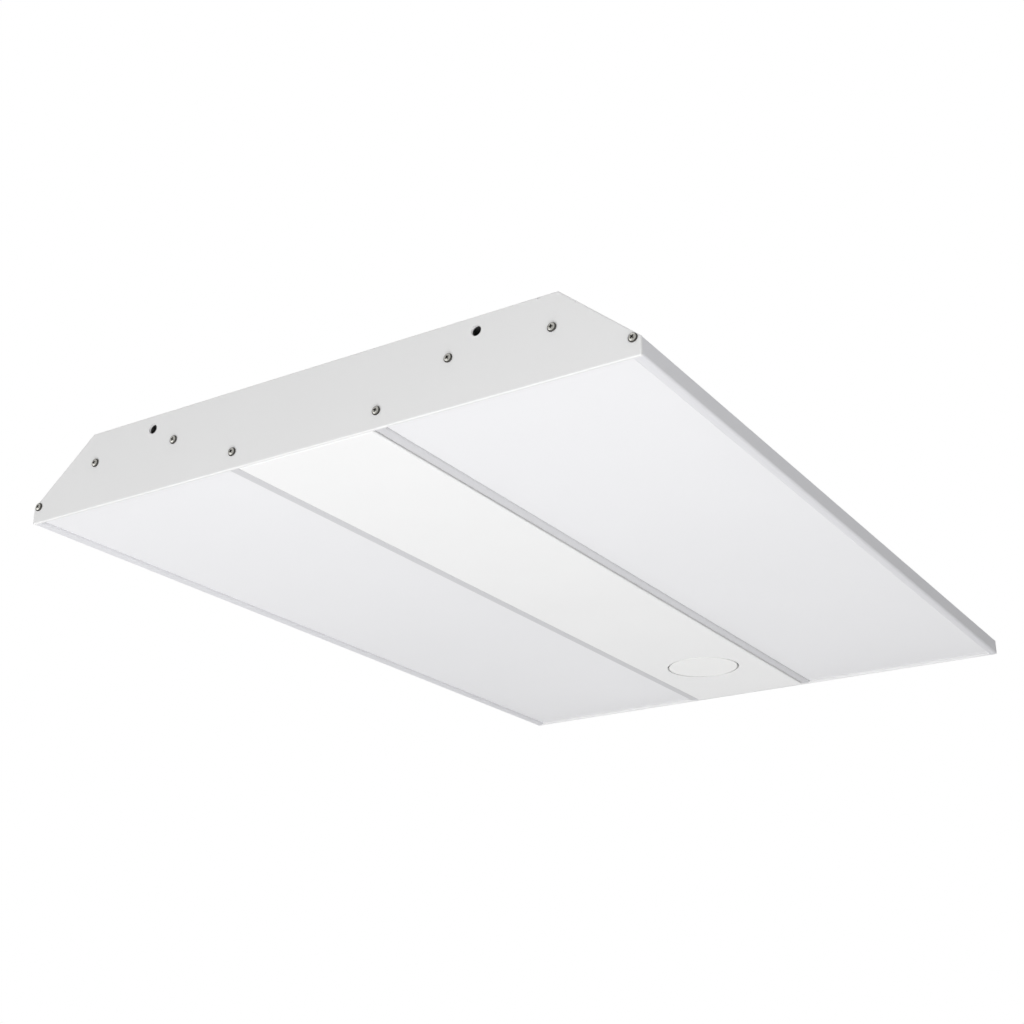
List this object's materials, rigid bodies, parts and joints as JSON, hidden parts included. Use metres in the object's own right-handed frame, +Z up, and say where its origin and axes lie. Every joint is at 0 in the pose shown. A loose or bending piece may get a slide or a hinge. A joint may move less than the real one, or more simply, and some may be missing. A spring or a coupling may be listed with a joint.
{
  "type": "linear high bay light",
  "caption": "Flat linear high bay light of folded white sheet, with frosted diffusers either side of a driver cover that carries a round sensor blank.",
  "frame": {"origin": "centre of the flat top face, which lies against a ceiling or faces it", "axes": "+X across the width, +Y along the length towards the end with the sensor blank, +Z up, so light leaves towards -Z"},
  "size_m": [0.424, 0.613, 0.05],
  "materials": {
    "housing_paint": "satin white enamel on steel sheet",
    "white_powder_coat": "matt white powder coat on steel sheet",
    "reflector_white": "high-reflectance white enamel on steel sheet",
    "frosted_diffuser": "frosted opal polycarbonate, unlit",
    "cap_plastic": "matt white ABS",
    "zinc_plate": "bright zinc plate",
    "rivet_aluminium": "plain aluminium",
    "knockout_paint": "satin white enamel, as the housing",
    "spring_steel": "tempered stainless strip",
    "board_white": "aluminium-core board with white solder mask",
    "led_phosphor": "yellow phosphor in a white frame",
    "connector_plastic": "ivory nylon",
    "grommet_rubber": "black rubber",
    "driver_shell": "galvanised steel sheet",
    "potting": "black potting compound",
    "terminal_plastic": "off-white polyamide",
    "terminal_brass": "plated brass",
    "tinned_copper": "tinned copper, weighed as steel",
    "wire_black": "black insulation",
    "wire_white": "white insulation",
    "wire_green": "green insulation",
    "cable_grey": "grey two-core sheath"
  },
  "bodies": {
    "housing": {"board_screws": "zinc_plate", "bridge_connector_left": "connector_plastic", "bridge_connector_right": "connector_plastic", "channel_rail_left": "housing_paint", "channel_rail_right": "housing_paint", "cover_springs": "spring_steel", "diffuser_left": "frosted_diffuser", "diffuser_right": "frosted_diffuser", "driver_base": "driver_shell", "driver_bushings": "grommet_rubber", "driver_core": "potting", "driver_lid": "driver_shell", "driver_lid_screws": "zinc_plate", "earth_lug": "tinned_copper", "end_plate_far": "white_powder_coat", "end_plate_near": "white_powder_coat", "end_screws_far": "zinc_plate", "end_screws_near": "zinc_plate", "housing_pan": "housing_paint", "lead_earth": "wire_green", "lead_live": "wire_black", "lead_neutral": "wire_white", "led_board_left_1": "board_white", "led_board_left_2": "board_white", "led_board_left_3": "board_white", "led_board_left_4": "board_white", "led_board_right_1": "board_white", "led_board_right_2": "board_white", "led_board_right_3": "board_white", "led_board_right_4": "board_white", "led_lead_left": "cable_grey", "led_lead_right": "cable_grey", "led_packages_left": "led_phosphor", "led_packages_right": "led_phosphor", "led_tray_left": "reflector_white", "led_tray_right": "reflector_white", "rail_rivets": "rivet_aluminium", "roof_knockouts": "knockout_paint", "roof_rivets": "rivet_aluminium", "roof_studs": "zinc_plate", "spring_rivets": "rivet_aluminium", "stud_nuts": "zinc_plate", "terminal_block": "terminal_plastic", "terminal_screws": "terminal_brass", "tray_grommet_left": "grommet_rubber", "tray_grommet_right": "grommet_rubber"},
    "cover": {"driver_cover": "white_powder_coat"},
    "blank": {"sensor_cap": "cap_plastic"}
  },
  "joints": [
    {"name": "cover_pull", "type": "slide", "parent": "housing", "child": "cover", "axis": [0, 0, -1], "range_m": [0, 0.04]},
    {"name": "cap_pull", "type": "slide", "parent": "cover", "child": "blank", "axis": [0, 0, -1], "range_m": [0, 0.012]}
  ]
}
